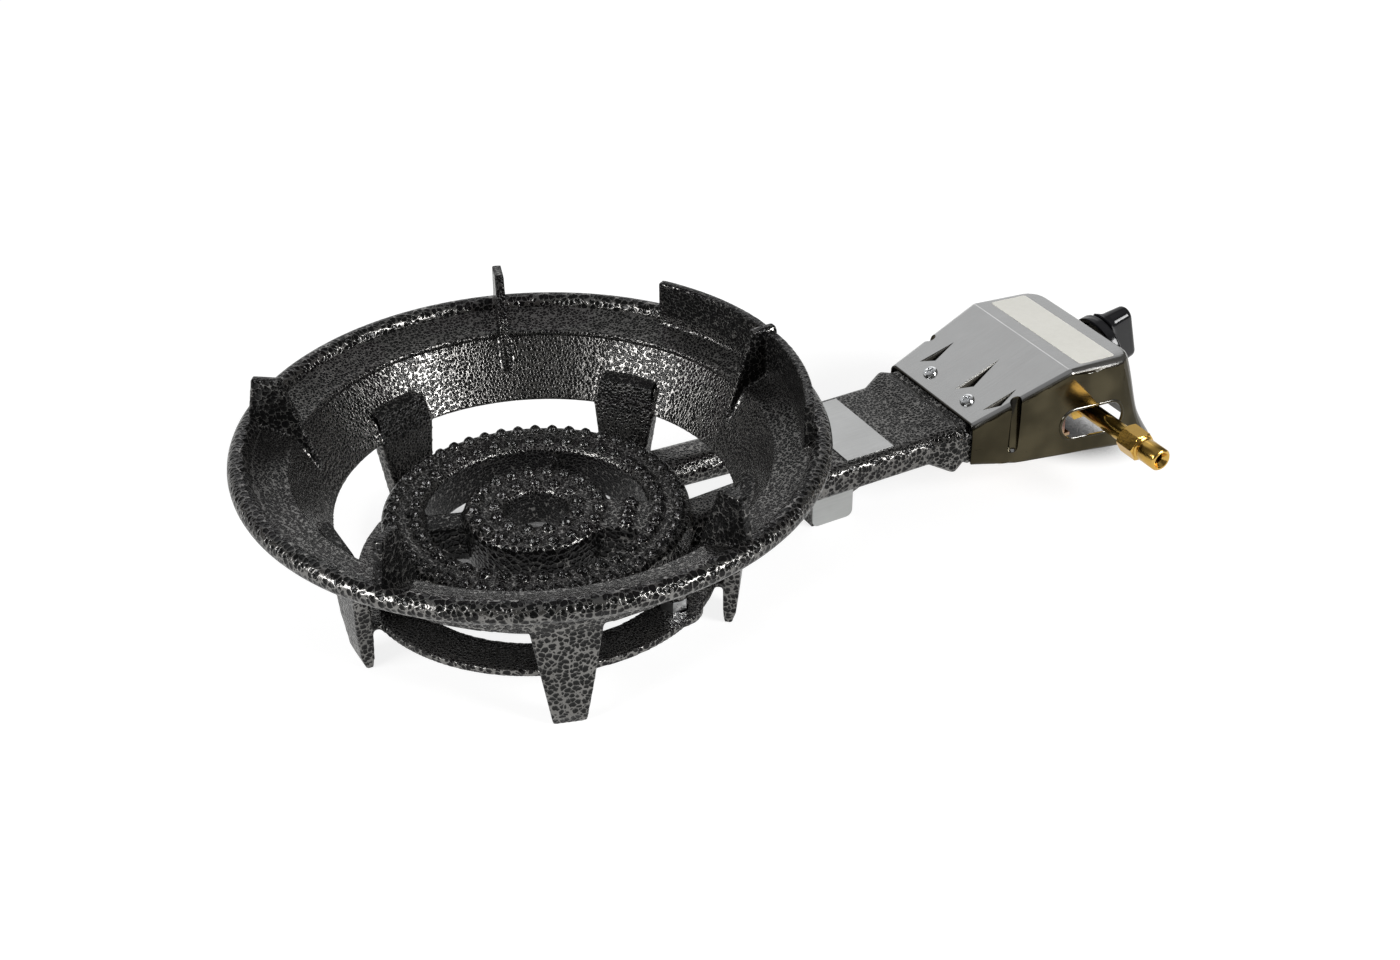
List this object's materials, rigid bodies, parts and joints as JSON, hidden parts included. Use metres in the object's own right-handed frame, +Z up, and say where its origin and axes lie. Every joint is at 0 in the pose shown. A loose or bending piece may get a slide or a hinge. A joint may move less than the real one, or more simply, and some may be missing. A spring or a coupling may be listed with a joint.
{
  "type": "wok burner",
  "caption": "Cast-iron wok burner: legged conical ring stand, two-ring port burner on twin mixing tubes, covered gas valve with push-and-turn knob and side gas inlet.",
  "frame": {"origin": "on the ground, under the centre of the ring stand", "axes": "+Z up, +X from the ring's centre along the mixing tubes towards the knob, gas inlet on the -Y side"},
  "size_m": [0.5417, 0.3, 0.1275],
  "materials": {
    "hammertone_stand": "cast iron under black and silver hammertone paint",
    "hammertone_burner": "cast iron under black and silver hammertone paint",
    "zinc_steel": "bright zinc-plated steel",
    "foil": "matt metal foil, bare",
    "yellow_zinc": "yellow-passivated zinc on sheet steel",
    "cast_brass": "fettled brass casting",
    "turned_brass": "bright turned brass",
    "drawn_brass": "drawn brass tube",
    "spring_steel": "bright spring wire",
    "black_knob": "glossy black moulded phenolic",
    "cover_chrome": "bright pressed stainless sheet",
    "label_paper": "blank off-white sticker"
  },
  "bodies": {
    "frame": {"stand": "hammertone_stand", "burner_body": "hammertone_burner", "burner_bolts": "zinc_steel", "burner_washers": "zinc_steel", "burner_nuts": "zinc_steel", "rating_label": "foil", "foot_plate": "foil", "valve_bracket": "yellow_zinc", "bracket_screws": "zinc_steel", "valve_body": "cast_brass", "body_screw": "zinc_steel", "valve_bonnet": "cast_brass", "bonnet_screws": "zinc_steel", "outer_injector": "turned_brass", "inner_injector": "turned_brass", "inlet_pipe": "drawn_brass", "pipe_nut": "turned_brass", "inlet_connector": "turned_brass", "valve_cover": "cover_chrome", "cover_screws": "zinc_steel", "cover_label": "label_paper"},
    "plug": {"valve_plug": "turned_brass", "stem_spring": "spring_steel"},
    "knob": {"knob": "black_knob", "valve_stem": "zinc_steel"},
    "outer_shutter": {"outer_air_shutter": "yellow_zinc"},
    "inner_shutter": {"inner_air_shutter": "yellow_zinc"}
  },
  "joints": [
    {"name": "knob_turn", "type": "hinge", "parent": "frame", "child": "plug", "pos_m": [0.33, 0, 0.042], "axis": [0.9703, 0, 0.2419], "range_deg": [0, 180]},
    {"name": "knob_push", "type": "slide", "parent": "plug", "child": "knob", "axis": [-0.9703, 0, -0.2419], "range_m": [0, 0.003], "stiffness_N_per_m": 900, "springref_m": -0.004, "deforming": ["stem_spring"]},
    {"name": "outer_shutter_turn", "type": "hinge", "parent": "frame", "child": "outer_shutter", "pos_m": [0.265, 0.019, 0.04], "axis": [1, 0, 0], "range_deg": [-45, 45]},
    {"name": "inner_shutter_turn", "type": "hinge", "parent": "frame", "child": "inner_shutter", "pos_m": [0.265, -0.019, 0.04], "axis": [1, 0, 0], "range_deg": [-45, 45]}
  ]
}
